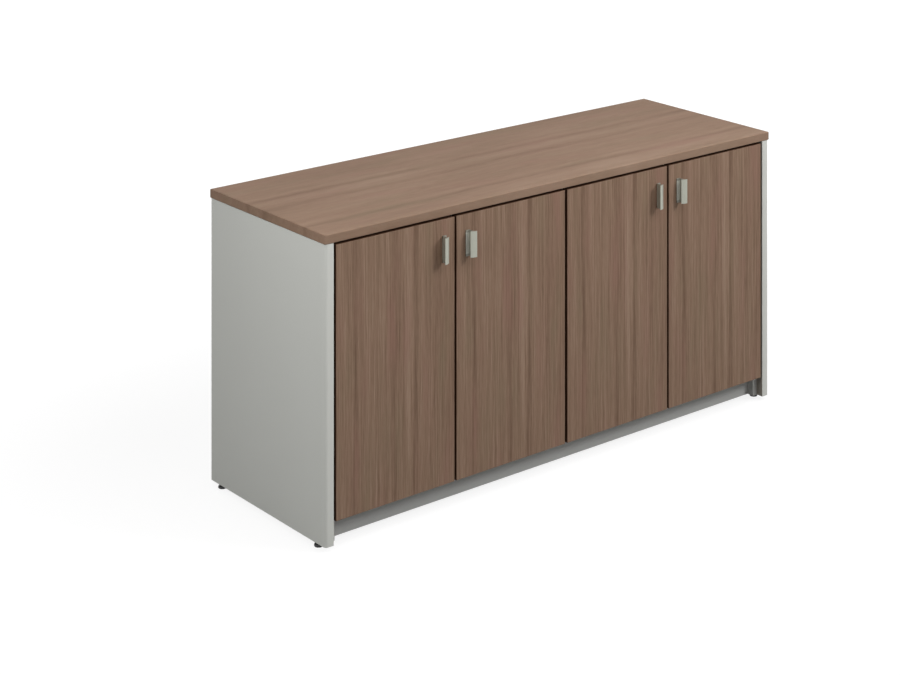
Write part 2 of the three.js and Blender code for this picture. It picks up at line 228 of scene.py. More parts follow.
def noise(x, y, z, detail=2.0, roughness=0.5):
    """Noise between 0 and 1 at a place given by three wires or numbers, at least one of them a wire. A place
    in metres is multiplied by a pitch, which is in cycles a metre."""
    wire = next(part for part in (x, y, z) if isinstance(part, Wire))
    place = wire.node("ShaderNodeCombineXYZ", None, {0: x, 1: y, 2: z})
    sockets = {"Vector": place, "Scale": 1.0, "Detail": detail, "Roughness": roughness}
    return wire.node("ShaderNodeTexNoise", {"noise_dimensions": "3D"}, sockets)


def even_noise(place, pitch, detail=2.0):
    """Noise with the same pitch along all three axes."""
    return noise(*[part * pitch for part in place], detail=detail)


def finish_material(name, constants):
    """A material with one Principled shader: its even values are set, and its start wire is returned."""
    material = bpy.data.materials.new(name)
    material.use_nodes = True
    tree = material.node_tree
    shader = tree.nodes["Principled BSDF"]
    for key, value in constants.items():
        shader.inputs[key].default_value = value
    return material, Wire(tree)


def apply_wires(material, wires, height, strength, distance):
    """Links wires to the Principled shader's sockets, and a height to its normal by a Bump node."""
    tree = material.node_tree
    shader = tree.nodes["Principled BSDF"]
    for key, wire in wires.items():
        tree.links.new(wire.socket, shader.inputs[key])
    sockets = {"Strength": strength, "Distance": distance, "Height": height}
    bump = height.node("ShaderNodeBump", None, sockets)
    tree.links.new(bump.socket, shader.inputs["Normal"])


def opaque(colour):
    return (*colour, 1.0)


def shaded(colour, share):
    """A colour made darker or lighter by a share."""
    return opaque(min(1.0, level * share) for level in colour)


# Wood print

OLIVE_CAST = srgb(132, 117, 94)
RED_CAST = srgb(148, 112, 99)
# Width of the painted shade round each door's edges
DOOR_SHADE_BAND = 0.5 * MM


def streak(across, centre, half_width):
    """A soft stripe: 1 along its centre line and 0 beyond its half width."""
    return (abs(across - centre) / half_width).ease(1.0, 0.0)


def edge_shade_mask(place, low, high, border):
    """1 on the side, top and bottom edges of an upright board, and 0 on its faces: where a door gets painted
    shade.
    """
    x, _, z = place.axes()
    middle = (low + high) / 2
    beside = abs(x - middle.x) - (high.x - middle.x - border)
    above = abs(z - middle.z) - (high.z - middle.z - border)
    return beside.most(above).ease(0.0, 0.1 * MM)


def grain_line(along, across, style):
    """The place across the print, which wanders slowly along the grain and ripples a little."""
    wave = style["wave"]
    wander = style["wander"]
    seed = style["seed"]
    drift_pitch = 3.0
    ripple_pitch = 14.0
    ripple_rate = 9.0
    ripple_share = 0.35
    drift = noise(along * wave, across * drift_pitch, seed) - 0.5
    ripple = noise(along * (ripple_rate * wave), across * ripple_pitch, seed + 3.0) - 0.5
    return across + drift * wander + ripple * (wander * ripple_share)


def grain_tone(along, line, depth, style):
    """The print's tone, which is 0.5 at its main brown, and the layers of lines that it is made of."""
    seed = style["seed"]
    layers = {}
    tone = style["tone"]
    for layer, (length, pitch, weight) in style["lines"].items():
        layers[layer] = noise(along * length, line * pitch, depth * pitch + seed)
        tone = tone + (layers[layer] - 0.5) * weight
    faded = noise(along * 4.0, line * 9.0, seed + 13.0).ease(0.55, 0.4) * style["faded"]
    for centre, half_width, weight in style["stripes"]:
        tone = tone + streak(line, centre, half_width) * weight * (1 - faded)
    return tone, layers


def grain_colour(along, line, tone, style, finish):
    """The print's colour: from dark to light by its tone, with slow casts of olive and red."""
    dark_half = tone.ease(0.0, 0.5, "LINEAR").mix(opaque(finish.wood_dark), opaque(finish.wood))
    colour = tone.ease(0.5, 1.0, "LINEAR").mix(dark_half, opaque(finish.wood_light))
    warm = noise(along * 3.0, line * 20.0, style["seed"] + 5.0, detail=3.0)
    olive = warm.ease(0.5, 0.2) * style["cast"]
    red = warm.ease(0.5, 0.8) * style["cast"]
    return red.mix(olive.mix(colour, opaque(OLIVE_CAST)), opaque(RED_CAST))


def wood_print(name, finish, place_axes, style, edge_shade_box=None):
    """Matt wood-grain laminate. place_axes gives the wires (along, across, depth) from the object's place.
    The style has a seed, the ground tone, how far the grain wanders and how fast it waves along, how much the
    stripes are faded in places, how strong the olive and red casts are, the stripes as (centre, half width,
    tone) across the print, and the lines as (pitch along, pitch across, weight). An edge_shade_box gets
    painted shade: a dark brown on its edges that stands in for the shade in the gaps between the doors."""
    pore_darkness = 0.35
    material, start = finish_material(name, {"IOR": 1.45, "Specular IOR Level": 0.12})
    place = start.node("ShaderNodeTexCoord", output="Object")
    along, across, depth = place_axes(place)
    line = grain_line(along, across, style)
    tone, layers = grain_tone(along, line, depth, style)
    fibre = layers["fibre"]
    pore = fibre.ease(0.62, 0.72) * noise(along * 5.0, line * 30.0, style["seed"] + 9.0).ease(0.45, 0.6)
    colour = grain_colour(along, line, tone, style, finish)
    colour = (pore * pore_darkness).mix(colour, opaque(finish.wood_dark))
    # Painted shade on the door's edges, for the shade in the gaps between the doors
    if edge_shade_box:
        colour = edge_shade_mask(place, *edge_shade_box, DOOR_SHADE_BAND).mix(colour, opaque(finish.door_edge_shade))
    roughness = 0.6 + (fibre - 0.5) * 0.12 + pore * 0.1
    height = layers["fine"] * 0.3 + fibre * 0.5 - pore
    apply_wires(material, {"Base Color": colour, "Roughness": roughness}, height, 0.12, 0.15 * MM)
    return material


# Boards, metal and plastic

# Painted light on the front of a pull's base flange, and painted shade on its sawn ends, in its channel and
# near the ends of the flange front
PAINTED_LIGHT_ALUMINIUM = srgb(226, 226, 218)
PAINTED_SHADE_ALUMINIUM = srgb(112, 106, 96)


def laminate(name, colour, speckle, roughness, painted_shade_sheet=None):
    """Matt printed board: a fine even speckle, a slow drift of tone and a faint pressed texture. A
    painted_shade_sheet is the distance from the middle plane at which a face gets painted shade, and the
    colour of that shade, darker than the board, which stands in for the shade in the gaps beside the doors."""
    speckle_pitch = 1400.0
    drift_pitch = 2.2
    smudge_pitch = 9.0
    smudge_seed = 4.0
    material, start = finish_material(name, {"IOR": 1.45, "Specular IOR Level": 0.2})
    place = start.node("ShaderNodeTexCoord", output="Object").axes()
    x, y, z = place
    grain = even_noise(place, speckle_pitch, detail=1.0)
    drift = even_noise(place, drift_pitch)
    smudge = noise(x * smudge_pitch, y * smudge_pitch, z * smudge_pitch + smudge_seed, detail=3.0)
    shade = 0.5 + (grain - 0.5) * speckle + (drift - 0.5) * 0.35
    tone = shade.mix(shaded(colour, 0.93), shaded(colour, 1.06))
    # Painted shade on the faces at that distance, the end panels' inner faces
    if painted_shade_sheet:
        distance, sheet = painted_shade_sheet
        tone = abs(abs(x) - distance).ease(0.4 * MM, 0.3 * MM).mix(tone, opaque(sheet))
    rough = roughness + (smudge - 0.5) * 0.1 + (grain - 0.5) * 0.06
    apply_wires(material, {"Base Color": tone, "Roughness": rough}, grain, 0.06, 0.1 * MM)
    return material


def drawn_metal(name, colour, metallic, roughness, along_axis, line_pitch, finish_parts=None):
    """Satin metal with fine lines along one axis, by which the part was drawn or brushed. finish_parts gives
    three wires from the object's place: where the face is matt anodised, where it gets painted light as a
    pale colour, and where it is rougher and gets painted shade as a dark colour."""
    along_pitch = 12.0
    cloud_pitch = 60.0
    material, start = finish_material(name, {"Metallic": metallic})
    place = start.node("ShaderNodeTexCoord", output="Object").axes()
    pitches = [along_pitch if axis == along_axis else line_pitch for axis in range(3)]
    lines = noise(*[part * pitch for part, pitch in zip(place, pitches)])
    cloud = even_noise(place, cloud_pitch)
    shade = 0.5 + (lines - 0.5) * 0.7 + (cloud - 0.5) * 0.3
    wires = {
        "Base Color": shade.mix(shaded(colour, 0.86), shaded(colour, 1.1)),
        "Roughness": roughness + (lines - 0.5) * 0.16 + (cloud - 0.5) * 0.06,
    }
    if finish_parts:
        matt, painted_light, rough_and_shaded = finish_parts(place)
        wires["Roughness"] = wires["Roughness"] + matt * 0.12 + painted_light * 0.3 + rough_and_shaded * 0.2
        wires["Metallic"] = (metallic - matt * 0.5 - painted_light * 0.65 - rough_and_shaded * 0.8).most(0.0)
        # Painted light: the pale colour on the flange front. Painted shade: the dark colour on the rougher
        # and shaded faces
        pale = (painted_light * 0.6).mix(wires["Base Color"], opaque(PAINTED_LIGHT_ALUMINIUM))
        wires["Base Color"] = (rough_and_shaded * 0.9).mix(pale, opaque(PAINTED_SHADE_ALUMINIUM))
    apply_wires(material, wires, lines, 0.08, 0.05 * MM)
    return material


def zinc(name, finish, roughness, along_axis=0):
    """Zinc-plated steel of the screws and bolts."""
    return drawn_metal(name, finish.nickel, 1.0, roughness, along_axis, 1400.0)


def nickel(name, finish, roughness, along_axis=0):
    """Nickel-plated steel of the hinges and shelf pins."""
    return drawn_metal(name, finish.nickel, 1.0, roughness, along_axis, 900.0)


def moulded_plastic(name, colour, roughness):
    """Moulded plastic with a fine spark-eroded texture and pale upright scuffs."""
    grain_pitch = 2600.0
    scuff_pitch = 300.0
    upright_scuff_pitch = 90.0
    material, start = finish_material(name, {"IOR": 1.46})
    place = start.node("ShaderNodeTexCoord", output="Object").axes()
    x, y, z = place
    grain = even_noise(place, grain_pitch)
    wear = noise(x * scuff_pitch, y * scuff_pitch, z * upright_scuff_pitch, detail=4.0, roughness=0.7)
    scuff = wear.ease(0.58, 0.72)
    pale = opaque(level + (1 - level) * 0.05 for level in colour)
    tone = (scuff * 0.5 + grain * 0.12).mix(opaque(colour), pale)
    rough = roughness + (grain - 0.5) * 0.15 + scuff * 0.1
    apply_wires(material, {"Base Color": tone, "Roughness": rough}, grain, 0.15, 0.08 * MM)
    return material


def dress(node_name, material):
    """Gives a frame node its finish."""
    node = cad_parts[node_name]
    node.data.materials.clear()
    node.data.materials.append(material)
    return node


def soften(node, width, angle=math.radians(35)):
    """Rounds a node's sharp arrises a little, so that they catch the light."""
    weld = node.modifiers.new("weld", "WELD")
    weld.merge_threshold = 0.01 * MM
    bevel = node.modifiers.new("arris", "BEVEL")
    bevel.width = width
    bevel.segments = 2
    bevel.limit_method = "ANGLE"
    bevel.angle_limit = angle
    normals = node.modifiers.new("normals", "WEIGHTED_NORMAL")
    normals.keep_sharp = False


# Mesh builders

def standing(origin, normal):
    """Matrix for a shape drawn along +Z, put at an origin and stood along a normal."""
    turn = Vector(normal).to_track_quat("Z", "Y").to_matrix().to_4x4()
    return Matrix.Translation(origin) @ turn


def ring(builder, radius, height, sides, centre=(0, 0)):
    """Points of a level circle, or its one centre point where the radius is 0."""
    if radius == 0:
        return [builder.verts.new((*centre, height))]
    points = []
    for index in range(sides):
        angle = 2 * math.pi * index / sides
        place = (centre[0] + radius * math.cos(angle), centre[1] + radius * math.sin(angle), height)
        points.append(builder.verts.new(place))
    return points


def join_rings(builder, lower, upper):
    """Faces between two rings of points, either of which may be a single point."""
    count = max(len(lower), len(upper))
    for index in range(count):
        following = (index + 1) % count
        corners = [lower[index % len(lower)], lower[following % len(lower)],
                   upper[following % len(upper)], upper[index % len(upper)]]
        builder.faces.new(list(dict.fromkeys(corners)))


def turned(builder, profile, sides, centre=(0, 0)):
    """A turned shape from (radius, height) pairs, given from its foot to its tip. Returns the last ring."""
    rings = [ring(builder, radius, height, sides, centre) for radius, height in profile]
    for lower, upper in zip(rings, rings[1:]):
        join_rings(builder, lower, upper)
    return rings[-1]


def cross_outline(builder, arm, half_width, height):
    """Points of a plus sign, in order round it."""
    points = []
    for quarter in range(4):
        turn = Matrix.Rotation(quarter * math.pi / 2, 2)
        for corner in ((arm, -half_width), (arm, half_width), (half_width, half_width)):
            points.append(builder.verts.new((*(turn @ Vector(corner)), height)))
    return points


def loop_edges(builder, points):
    edges = []
    for first, second in zip(points, points[1:] + points[:1]):
        edges.append(builder.edges.get((first, second)) or builder.edges.new((first, second)))
    return edges


def pan_screw(radius, rise):
    """A pan head with a cross recess, standing on Z = 0."""
    builder = bmesh.new()
    profile = [
        (0, 0), (radius, 0), (radius, 0.3 * rise), (0.88 * radius, 0.75 * rise), (0.66 * radius, rise),
    ]
    crown = turned(builder, profile, sides=24)
    mouth = cross_outline(builder, 0.48 * radius, 0.13 * radius, rise)
    floor = cross_outline(builder, 0.36 * radius, 0.1 * radius, 0.35 * rise)
    join_rings(builder, floor, mouth)
    rim = loop_edges(builder, crown) + loop_edges(builder, mouth)
    bmesh.ops.triangle_fill(builder, edges=rim, use_beauty=True)
    bmesh.ops.triangle_fill(builder, edges=loop_edges(builder, floor), use_beauty=True)
    return builder


def dome(radius, rise):
    """A low round button with a soft edge, standing on Z = 0."""
    rim = 0.2
    steps = 5
    profile = [(0, 0), (radius, 0), (radius, rim * rise)]
    for step in range(1, steps):
        angle = math.pi / 2 * step / steps
        profile.append((radius * math.cos(angle), rise * (rim + (1 - rim) * math.sin(angle))))
    profile.append((0, rise))
    builder = bmesh.new()
    turned(builder, profile, sides=28)
    return builder


def stamped(shape, matrices):
    """Copies of one shape at several places, in one builder. The shape is used up."""
    template = bpy.data.meshes.new("template")
    shape.to_mesh(template)
    shape.free()
    builder = bmesh.new()
    for matrix in matrices:
        copy = template.copy()
        copy.transform(matrix)
        builder.from_mesh(copy)
        bpy.data.meshes.remove(copy)
    bpy.data.meshes.remove(template)
    return builder


def eased_bar(builder, low, high, radius):
    """A box between two corners with its edges rounded."""
    size = Vector(high) - Vector(low)
    middle = (Vector(high) + Vector(low)) / 2
    matrix = Matrix.Translation(middle) @ Matrix.Diagonal((*size, 1))
    made = bmesh.ops.create_cube(builder, size=1, matrix=matrix)
    edges = {edge for vert in made["verts"] for edge in vert.link_edges}
    bmesh.ops.bevel(builder, geom=list(edges), offset=radius, segments=2, profile=0.5, affect="EDGES")


def add_piece(name, builder, material, body):
    """Makes a piece from a builder, gives it a finish and lets it ride on a body. The builder is used up."""
    sharp_angle = math.radians(32)
    bmesh.ops.recalc_face_normals(builder, faces=builder.faces)
    mesh = bpy.data.meshes.new(name)
    builder.to_mesh(mesh)
    builder.free()
    mesh.materials.append(material)
    mesh.shade_smooth()
    mesh.set_sharp_from_angle(angle=sharp_angle)
    piece = bpy.data.objects.new(name, mesh)
    bpy.context.scene.collection.objects.link(piece)
    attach(piece, body)
    return piece


def thread(builder, centre, foot, length, crest, root, pitch):
    """A threaded rod: a helix of crest and root rows, closed at both ends."""
    sides = 16
    rows_per_turn = 4
    rows = rows_per_turn * round(length / pitch - 1)
    radii = (crest, crest, root, root)
    columns = []
    for index in range(sides):
        angle = 2 * math.pi * index / sides
        column = []
        for row in range(rows + 1 + (rows_per_turn if index == 0 else 0)):
            radius = radii[row % rows_per_turn]
            height = foot + pitch * (row / rows_per_turn + index / sides)
            place = (centre[0] + radius * math.cos(angle), centre[1] + radius * math.sin(angle), height)
            column.append(builder.verts.new(place))
        columns.append(column)
    for index in range(sides):
        column = columns[index]
        following = columns[index + 1] if index + 1 < sides else columns[0][rows_per_turn:]
        for row in range(rows):
            builder.faces.new((column[row], following[row], following[row + 1], column[row + 1]))
    foot_loop = [column[0] for column in columns] + columns[0][rows_per_turn:0:-1]
    tip_loop = [column[rows] for column in columns] + columns[0][:rows:-1]
    for loop, height in ((foot_loop, foot), (tip_loop, foot + length)):
        hub = builder.verts.new((*centre, height))
        for first, second in zip(loop, loop[1:] + loop[:1]):
            builder.faces.new((first, second, hub))


# Operators

class CREDENZA_OT_top(bpy.types.Operator):
    """Wood print on the top panel, its grain along the width"""
    bl_idname = "credenza.top"
    bl_label = "Top panel"

    def execute(self, context):
        finish = context.scene.credenza_finish
        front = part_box("top_panel")[0].y

        def axes(place):
            x, y, z = place.axes()
            return x, y - front, z

        style = {
            "seed": 2.0,
            "tone": 0.49,
            "wander": 30 * MM,
            "wave": 1.6,
            "faded": 0.5,
            "cast": 0.35,
            "stripes": (
                (325 * MM, 14 * MM, -0.15), (292 * MM, 28 * MM, 0.1), (252 * MM, 18 * MM, -0.14),
                (345 * MM, 14 * MM, 0.08), (82 * MM, 13 * MM, -0.16), (104 * MM, 14 * MM, 0.08),
                (35 * MM, 40 * MM, 0.1), (0, 20 * MM, 0.12),
            ),
            "lines": {
                "broad": (2.0, 9.0, 0.34), "medium": (4.0, 45.0, 0.18), "fine": (9.0, 200.0, 0.12),
                "fleck": (30.0, 110.0, 0.18), "fibre": (14.0, 900.0, 0.15),
            },
        }
        material = wood_print("wood_grain_top", finish, axes, style)
        soften(dress("top_panel", material), BOARD_ARRIS, ROUNDED_EDGE_ANGLE)
        return {"FINISHED"}


class CREDENZA_OT_doors(bpy.types.Operator):
    """Wood print on the doors, its grain upright and nearly the same on each door"""
    bl_idname = "credenza.doors"
    bl_label = "Doors"

    first_seed = 7.0
    seed_step = 0.1

    def execute(self, context):
        finish = context.scene.credenza_finish
        style = {
            "tone": 0.44,
            "wander": 10 * MM,
            "wave": 1.3,
            "faded": 0.3,
            "cast": 0.5,
            "stripes": (
                (22 * MM, 28 * MM, 0.1), (55 * MM, 9 * MM, -0.12), (178 * MM, 18 * MM, -0.17),
                (216 * MM, 18 * MM, 0.17), (237 * MM, 8 * MM, -0.16), (252 * MM, 9 * MM, 0.13),
            ),
            "lines": {
                "broad": (0.5, 9.0, 0.2), "medium": (1.5, 70.0, 0.44), "fine": (5.0, 260.0, 0.82),
                "fleck": (30.0, 320.0, 0.36), "fibre": (14.0, 900.0, 0.2),
            },
        }
        for index, door in enumerate(DOORS):
            low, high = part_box(f"door_{door}")

            def axes(place, left=low.x):
                x, y, z = place.axes()
                return z, x - left, y

            seeded = {**style, "seed": self.first_seed + self.seed_step * index}
            # Each door gets painted shade on its edges
            material = wood_print(f"wood_grain_{door}", finish, axes, seeded, (low, high))
            soften(dress(f"door_{door}", material), BOARD_ARRIS, ROUNDED_EDGE_ANGLE)
        return {"FINISHED"}


class CREDENZA_OT_case(bpy.types.Operator):
    """Grey laminate on the end panels and kick plate, and grey melamine on the boards inside"""
    bl_idname = "credenza.case"
    bl_label = "Case boards"

    def execute(self, context):
        finish = context.scene.credenza_finish
        # The end panels' inner faces get painted shade
        painted_shade_sheet = (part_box("end_panel_right")[0].x, finish.painted_shade_sheet)
        outer = laminate("grey_laminate_panels", finish.laminate, speckle=0.5, roughness=0.5, painted_shade_sheet=painted_shade_sheet)
        # The kick plate's darker grey is painted shade, for the shade under the doors
        kick = laminate("grey_laminate_kick_painted_shade", finish.kick, speckle=0.5, roughness=0.5)
        inner = laminate("grey_carcass_boards", finish.carcass, speckle=0.8, roughness=0.58)
        for side in SIDES:
            soften(dress(f"end_panel_{side}", outer), BOARD_ARRIS)
            for board in ("carcass_side", "bottom_deck", "shelf"):
                soften(dress(f"{board}_{side}", inner), BOARD_ARRIS)
        soften(dress("kick_plate", kick), BOARD_ARRIS)
        for board in ("centre_partition", "top_rail_front", "top_rail_rear", "back_panel"):
            soften(dress(board, inner), BOARD_ARRIS)
        return {"FINISHED"}


class CREDENZA_OT_edge_bands(bpy.types.Operator):
    """Thin banding on the front edges of the boards inside"""
    bl_idname = "credenza.edge_bands"
    bl_label = "Edge bands"

    inset = 0.05 * MM
    tuck = 0.1 * MM
    arris = 0.2 * MM

    def execute(self, context):
        finish = context.scene.credenza_finish
        thickness = context.scene.credenza_hardware.band_thickness
        pale = tuple(level * 1.05 for level in finish.carcass)
        material = laminate("grey_edge_band", pale, speckle=0.15, roughness=0.45)
        boards = ["centre_partition", "top_rail_front"]
        for side in SIDES:
            boards += [f"carcass_side_{side}", f"bottom_deck_{side}", f"shelf_{side}"]
        for board in boards:
            low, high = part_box(board)
            if board == "centre_partition":
                low.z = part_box("bottom_deck_left")[0].z
                high.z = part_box("top_rail_front")[0].z
            inset = Vector((self.inset, 0, self.inset))
            front = low + inset - Vector((0, thickness, 0))
            back = high - inset
            back.y = low.y + self.tuck
            builder = bmesh.new()
            eased_bar(builder, front, back, self.arris)
            add_piece(f"edge_band_{board}", builder, material, "case")
        return {"FINISHED"}


class CREDENZA_OT_fasteners(bpy.types.Operator):
    """Screws in the back panel and capped screws in the carcass sides"""
    bl_idname = "credenza.fasteners"
    bl_label = "Case fasteners"

    spaces_each_way = 4
    spaces_up = 5
    cap_rise = 1.1 * MM
    cap_from_edges = 100 * MM
    cap_above_foot = 120 * MM
    cap_below_top = 70 * MM

    def execute(self, context):
        finish = context.scene.credenza_finish
        hardware = context.scene.credenza_hardware
        steel = zinc("zinc_screws", finish, 0.34)
        heads = [standing(place, TO_THE_BACK) for place in self.back_places()]
        builder = stamped(pan_screw(hardware.screw_radius, hardware.screw_rise), heads)
        add_piece("back_panel_screws", builder, steel, "case")
        grey = moulded_plastic("grey_screw_caps", finish.carcass, 0.42)
        caps = [standing(place, normal) for place, normal in self.cap_places()]
        builder = stamped(dome(hardware.cap_radius, self.cap_rise), caps)
        add_piece("carcass_screw_caps", builder, grey, "case")
        return {"FINISHED"}

    def back_places(self):
        """Along the boards that the back panel is screwed to: rail, decks, sides and partition."""
        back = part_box("back_panel")[1].y
        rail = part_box("top_rail_rear")
        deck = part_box("bottom_deck_left")
        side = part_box("carcass_side_right")
        middle_of_side = (side[0].x + side[1].x) / 2
        places = []
        for step in range(-self.spaces_each_way, self.spaces_each_way + 1):
            across = middle_of_side * step / self.spaces_each_way
            for board in (rail, deck):
                places.append((across, back, (board[0].z + board[1].z) / 2))
        opening = rail[0].z - deck[1].z
        for column in (-middle_of_side, 0, middle_of_side):
            for step in range(1, self.spaces_up):
                places.append((column, back, deck[1].z + opening * step / self.spaces_up))
        return places

    def cap_places(self):
        """Two high and two low on each carcass side, clear of the shelf-pin holes."""
        places = []
        for side, inward in zip(SIDES, (1, -1)):
            low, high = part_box(f"carcass_side_{side}")
            face = high.x if inward > 0 else low.x
            for depth in (low.y + self.cap_from_edges, high.y - self.cap_from_edges):
                for height in (low.z + self.cap_above_foot, high.z - self.cap_below_top):
                    places.append(((face, depth, height), (inward, 0, 0)))
        return places


class CREDENZA_OT_pulls(bpy.types.Operator):
    """Satin aluminium pulls with a crowned grip and drawn lines upright, and their screws behind the doors"""
    bl_idname = "credenza.pulls"
    bl_label = "Pulls"

    base_width = 12.5 * MM
    base_thickness = 2.5 * MM
    half_stem = 1.25 * MM
    half_plate = 1.25 * MM
    plate_width = 17.6 * MM
    tilt = math.radians(21)
    grip_reach = 15 * MM
    arris = 0.25 * MM
    screw_inset = 12 * MM
    screw_size = 1.3
    stem_matt = 0.65
    grip_matt = 0.4
    # Shares and length of the painted shade in the channel beside the stem and near the ends of the flange
    # front
    channel_shade = 0.6
    end_shade_share = 0.65
    end_shade_length = 8 * MM

    def execute(self, context):
        finish = context.scene.credenza_finish
        hardware = context.scene.credenza_hardware
        steel = zinc("zinc_pull_screws", finish, 0.32)
        for door, towards in DOORS.items():
            node = f"handle_{door}"
            low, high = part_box(node)
            door_low, door_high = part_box(f"door_{door}")
            stem_edge = self.base_width - self.half_stem
            stem_middle = high.x - stem_edge if towards > 0 else low.x + stem_edge
            parts = self.finish_parts(node, door_low.y, towards, stem_middle)
            material = drawn_metal(
                f"satin_aluminium_{door}", finish.aluminium, metallic=0.95, roughness=0.24, along_axis=2,
                line_pitch=1500.0, finish_parts=parts)
            builder = self.pull(node, door_low.y, towards, stem_middle, hardware.grip_crown)
            pull = add_piece(f"crowned_{node}", builder, material, f"door_{door}")
            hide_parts(node)
            soften(pull, self.arris)
            base_middle = stem_middle + towards * (self.base_width / 2 - self.half_stem)
            places = []
            for height in (low.z + self.screw_inset, high.z - self.screw_inset):
                places.append(standing((base_middle, door_high.y, height), TO_THE_BACK))
            head = pan_screw(self.screw_size * hardware.screw_radius, hardware.screw_rise)
            builder = stamped(head, places)
            add_piece(f"pull_screws_{door}", builder, steel, f"door_{door}")
        return {"FINISHED"}

    def finish_parts(self, node, door_front, towards, stem_middle):
        """The masks of a pull's finish: matt on the stem and more so on the grip, painted light as a pale
        colour on the front of the base flange, and painted shade as a dark colour on the sawn ends, near them
        on the flange and in the channel beside the stem. The sawn ends are also rougher."""
        low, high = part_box(node)
        middle = (low.z + high.z) / 2
        half = (high.z - low.z) / 2
        flange = door_front - high.y + self.base_thickness

        def parts(place):
            x, y, z = place
            reach = door_front - y
            stem = reach.ease(flange + 0.4 * MM, flange + 0.8 * MM)
            grip = reach.ease(self.grip_reach, self.grip_reach + 0.5 * MM)
            # Painted shade in the channel between the stem and the flange
            channel = ((x - stem_middle) * towards).ease(0.0, 0.3 * MM) * stem * (1 - grip)
            matt = (stem * self.stem_matt + grip * self.grip_matt) * (1 - channel)
            # Painted light on the flange front
            front = abs(reach - flange).ease(0.3 * MM, 0.2 * MM)
            from_middle = abs(z - middle)
            # The sawn ends are rougher and get painted shade
            ends = from_middle.ease(half - 0.2 * MM, half - 0.1 * MM)
            # Painted shade near the ends of the flange front, in place of the painted light there
            fading = from_middle.ease(half - self.end_shade_length, half - self.end_shade_length / 2)
            near_ends = front * fading * self.end_shade_share
            return matt, front - near_ends, ends.most(channel * self.channel_shade).most(near_ends)

        return parts

    def pull(self, node, door_front, towards, stem_middle, crown):
        """The node's own profile with the front of its grip crowned, extruded upright. Its points are
        (across, out): from the stem towards the meeting gap, and out from the door."""
        low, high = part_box(node)
        seat = door_front - high.y
        half = self.half_plate
        arm = self.plate_width / 2 - half
        slope = math.tan(self.tilt)
        along = Vector((math.cos(self.tilt), -math.sin(self.tilt)))
        outward = Vector((math.sin(self.tilt), math.cos(self.tilt)))
        stand_off = door_front - low.y - arm * math.sin(self.tilt) - half
        middle = Vector((0, stand_off))
        end_radius = half - crown / 2
        reach = arm + half - end_radius

        def end_arc(side, steps=8):
            """Half a circle round one end of the grip, from its front to its back."""
            centre = middle + along * (side * reach) - outward * (crown / 2)
            angles = [math.pi * step / steps for step in range(steps + 1)]
            return [centre + end_radius * (along * (side * math.sin(angle)) + outward * math.cos(angle))
                    for angle in angles]

        def crowned_front(steps=12):
            shares = [2 * step / steps - 1 for step in range(1, steps)]
            return [middle + along * (share * reach) + outward * (half - crown * share * share)
                    for share in shares]

        def grip_back(across):
            return Vector((across, stand_off - half / math.cos(self.tilt) - across * slope))

        stem = self.half_stem
        base_edge = self.base_width - stem
        base_front = seat + self.base_thickness
        outline = end_arc(-1)[::-1] + crowned_front() + end_arc(1)
        outline += [grip_back(stem), Vector((stem, base_front)), Vector((base_edge, base_front))]
        outline += [Vector((base_edge, seat)), Vector((-stem, seat)), grip_back(-stem)]
        builder = bmesh.new()
        loops = []
        for height in (low.z, high.z):
            places = [(stem_middle + towards * point.x, door_front - point.y, height) for point in outline]
            loops.append([builder.verts.new(place) for place in places])
        join_rings(builder, *loops)
        for loop in loops:
            builder.faces.new(loop)
        return builder


class CREDENZA_OT_hinges(bpy.types.Operator):
    """Nickel on the concealed hinges, with their fixing and adjusting screws"""
    bl_idname = "credenza.hinges"
    bl_label = "Hinges"

    arris = 0.2 * MM
    plate_thickness = 3 * MM
    plate_screw_depth = 20 * MM
    plate_screw_spread = 18 * MM
    adjuster_depths = (38 * MM, 14 * MM)
    cup_screw_offset = 6 * MM
    cup_screw_inset = 4 * MM
    flat_head = 0.6

    def execute(self, context):
        finish = context.scene.credenza_finish
        hardware = context.scene.credenza_hardware
        material = nickel("nickel_steel_hinges", finish, 0.28, along_axis=1)
        screws = zinc("zinc_hinge_screws", finish, 0.36)
        fixed = []
        for door, towards in DOORS.items():
            swinging = []
            for place in HINGE_PLACES:
                for piece in ("arm", "cup", "lever"):
                    soften(dress(f"hinge_{piece}_{door}_{place}", material), self.arris)
                fixed += self.arm_screws(f"hinge_arm_{door}_{place}", towards)
                swinging += self.cup_screws(f"hinge_cup_{door}_{place}", towards)
            head = pan_screw(hardware.screw_radius, self.flat_head * hardware.screw_rise)
            builder = stamped(head, swinging)
            add_piece(f"hinge_cup_screws_{door}", builder, screws, f"door_{door}")
        builder = stamped(pan_screw(hardware.screw_radius, hardware.screw_rise), fixed)
        add_piece("hinge_arm_screws", builder, screws, "case")
        return {"FINISHED"}

    def arm_screws(self, node, towards):
        """Two screws through the mounting plate and two adjusting screws on the arm."""
        low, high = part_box(node)
        middle = (low.z + high.z) / 2
        plate_face = low.x + self.plate_thickness if towards > 0 else high.x - self.plate_thickness
        arm_face = high.x if towards > 0 else low.x
        places = []
        for height in (middle - self.plate_screw_spread, middle + self.plate_screw_spread):
            places.append((plate_face, high.y - self.plate_screw_depth, height))
        for depth in self.adjuster_depths:
            places.append((arm_face, high.y - depth, middle))
        return [standing(place, (towards, 0, 0)) for place in places]

    def cup_screws(self, node, towards):
        """Two screws through the cup's flange."""
        low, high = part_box(node)
        centre = (low.x + high.x) / 2 + towards * self.cup_screw_offset
        heights = (low.z + self.cup_screw_inset, high.z - self.cup_screw_inset)
        return [standing((centre, high.y, height), TO_THE_BACK) for height in heights]


